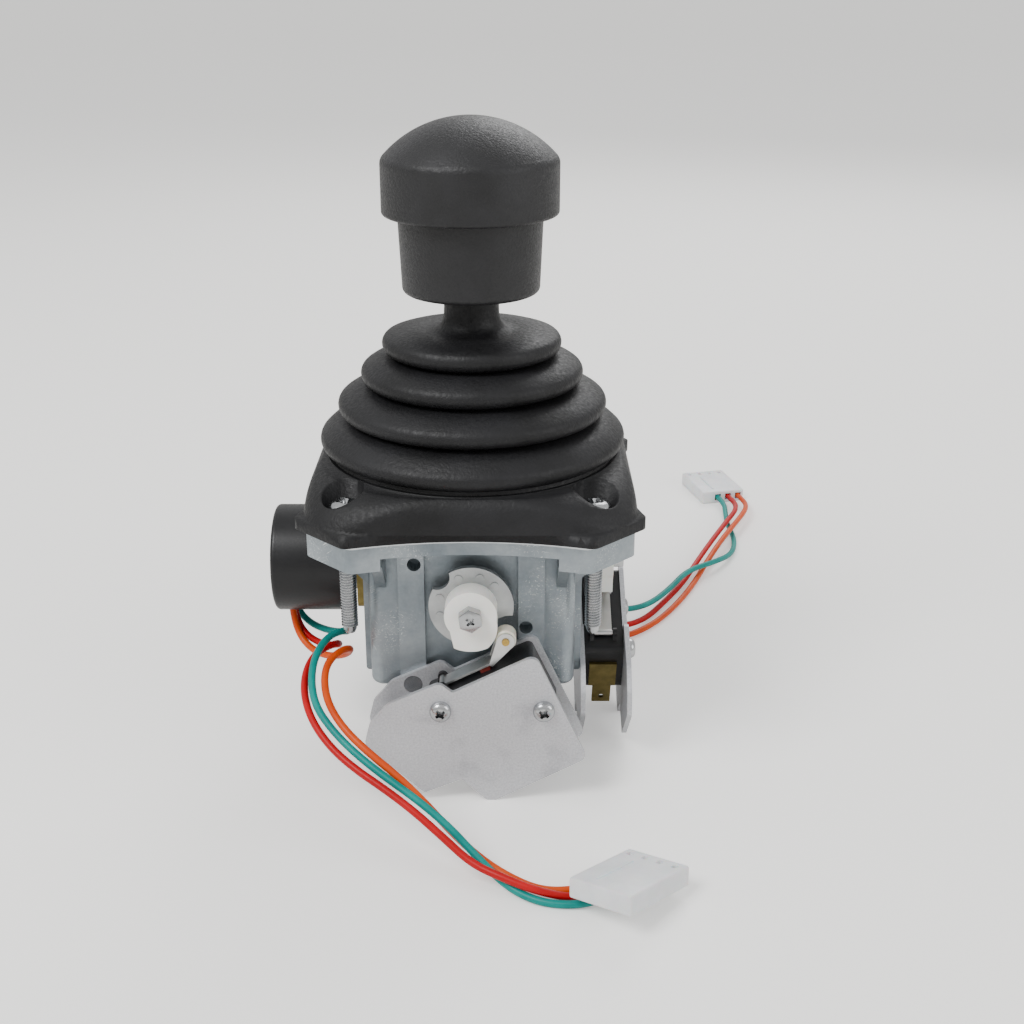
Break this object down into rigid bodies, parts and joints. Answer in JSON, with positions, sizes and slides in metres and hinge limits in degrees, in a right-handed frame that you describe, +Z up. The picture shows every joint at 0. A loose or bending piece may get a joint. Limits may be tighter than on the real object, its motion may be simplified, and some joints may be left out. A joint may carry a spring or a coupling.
{
  "type": "industrial joystick",
  "caption": "Spring-centred industrial joystick: mushroom knob on a folded rubber boot, die-cast housing, cams working snap-action switches, potentiometers and plugged leads.",
  "frame": {"origin": "centre of the top face of the steel mounting plate, under the rubber rim", "axes": "+Z up through the knob, -Y towards the front switch and the viewer, +X towards the right switch"},
  "size_m": [0.1467, 0.2757, 0.1572],
  "materials": {
    "knob_plastic": "fine-grained",
    "boot_rubber": "satin",
    "plated_steel": "zinc-plated sheet",
    "zinc_casting": "brushed die casting",
    "screw_steel": "bright plated",
    "linkage_steel": "ground",
    "bush_bronze": "sintered",
    "insert_brass": "turned",
    "cam_acetal": "moulded",
    "disc_zinc": "cast",
    "switch_plate_aluminium": "matt",
    "switch_plastic": "moulded",
    "plunger_plastic": "moulded",
    "terminal_brass": "tarnished",
    "lever_steel": "bright strip",
    "roller_nylon": "moulded",
    "spring_steel": "wire",
    "pot_plastic": "moulded",
    "lead_teal": "PVC",
    "lead_red": "PVC",
    "lead_orange": "PVC",
    "plug_nylon": "moulded"
  },
  "bodies": {
    "housing": {"boot": "boot_rubber", "front_switch_body": "switch_plastic", "front_switch_inner_plate": "switch_plate_aluminium", "front_switch_outer_plate": "switch_plate_aluminium", "front_switch_screws": "screw_steel", "front_switch_terminals": "terminal_brass", "housing": "zinc_casting", "left_lead_orange": "lead_orange", "left_lead_red": "lead_red", "left_lead_teal": "lead_teal", "left_plug": "plug_nylon", "left_pot_body": "pot_plastic", "left_pot_cover": "pot_plastic", "left_pot_nut": "screw_steel", "left_pot_plate": "terminal_brass", "left_pot_screws": "screw_steel", "left_spring": "spring_steel", "mounting_plate": "plated_steel", "mounting_screws": "screw_steel", "plate_screws": "screw_steel", "rear_lead_orange": "lead_orange", "rear_lead_red": "lead_red", "rear_lead_teal": "lead_teal", "rear_plug": "plug_nylon", "rear_pot_body": "pot_plastic", "rear_pot_cover": "pot_plastic", "rear_pot_nut": "screw_steel", "rear_pot_plate": "terminal_brass", "rear_pot_screws": "screw_steel", "rear_spring": "spring_steel", "right_switch_body": "switch_plastic", "right_switch_inner_plate": "switch_plate_aluminium", "right_switch_outer_plate": "switch_plate_aluminium", "right_switch_screws": "screw_steel", "right_switch_terminals": "terminal_brass", "shaft_bushes": "bush_bronze"},
    "yoke": {"yoke": "linkage_steel", "front_cam_disc": "disc_zinc", "front_cam": "cam_acetal", "front_cam_screw": "screw_steel", "rear_pot_rotor": "pot_plastic"},
    "handle": {"pivot_block": "linkage_steel", "cross_pin": "linkage_steel", "handle_shaft": "linkage_steel", "knob_grip": "knob_plastic", "grip_insert": "insert_brass", "knob_cap": "knob_plastic"},
    "bail": {"bail": "linkage_steel", "right_cam_disc": "disc_zinc", "right_cam": "cam_acetal", "right_cam_screw": "screw_steel", "left_pot_rotor": "pot_plastic"},
    "front_lever": {"front_roller_lever": "lever_steel", "front_roller_pin": "insert_brass"},
    "front_roller": {"front_roller": "roller_nylon"},
    "front_plunger": {"front_switch_plunger": "plunger_plastic"},
    "right_lever": {"right_roller_lever": "lever_steel", "right_roller_pin": "insert_brass"},
    "right_roller": {"right_roller": "roller_nylon"},
    "right_plunger": {"right_switch_plunger": "plunger_plastic"}
  },
  "joints": [
    {"name": "tilt_left_right", "type": "hinge", "parent": "housing", "child": "yoke", "pos_m": [0, 0, -0.0195], "axis": [0, 1, 0], "range_deg": [-20, 20], "stiffness_Nm_per_rad": 0.6, "deforming": ["rear_spring"]},
    {"name": "tilt_fore_aft", "type": "hinge", "parent": "yoke", "child": "handle", "pos_m": [0, 0, -0.0195], "axis": [1, 0, 0], "range_deg": [-20, 20], "stiffness_Nm_per_rad": 0.6, "deforming": ["boot", "left_spring"]},
    {"name": "bail_turn", "type": "hinge", "parent": "housing", "child": "bail", "pos_m": [0, 0, -0.0195], "axis": [1, 0, 0], "range_deg": [-20.5, 20.5]},
    {"name": "front_lever_turn", "type": "hinge", "parent": "housing", "child": "front_lever", "pos_m": [-0.00696, -0.03315, -0.03775], "axis": [0, 1, 0], "range_deg": [-4, 4]},
    {"name": "front_plunger_slide", "type": "slide", "parent": "housing", "child": "front_plunger", "axis": [0.4226, 0, -0.9063], "range_m": [-0.0008, 0.0008]},
    {"name": "front_roller_spin", "type": "hinge", "parent": "front_lever", "child": "front_roller", "pos_m": [0.0082, -0.03315, -0.0259], "axis": [0, 1, 0], "continuous": true},
    {"name": "right_lever_turn", "type": "hinge", "parent": "housing", "child": "right_lever", "pos_m": [0.03315, -0.00696, -0.03775], "axis": [-1, 0, 0], "range_deg": [-4, 4]},
    {"name": "right_plunger_slide", "type": "slide", "parent": "housing", "child": "right_plunger", "axis": [0, 0.4226, -0.9063], "range_m": [-0.0008, 0.0008]},
    {"name": "right_roller_spin", "type": "hinge", "parent": "right_lever", "child": "right_roller", "pos_m": [0.03315, 0.0082, -0.0259], "axis": [-1, 0, 0], "continuous": true}
  ],
  "couplings": [
    {"joint": "bail_turn", "follows": "tilt_fore_aft", "ratio": 1},
    {"joint": "front_lever_turn", "follows": "tilt_left_right", "ratio": -0.171},
    {"joint": "front_plunger_slide", "follows": "tilt_left_right", "m_per_rad": -0.00188},
    {"joint": "right_lever_turn", "follows": "tilt_fore_aft", "ratio": 0.171},
    {"joint": "right_plunger_slide", "follows": "tilt_fore_aft", "m_per_rad": 0.00188}
  ]
}
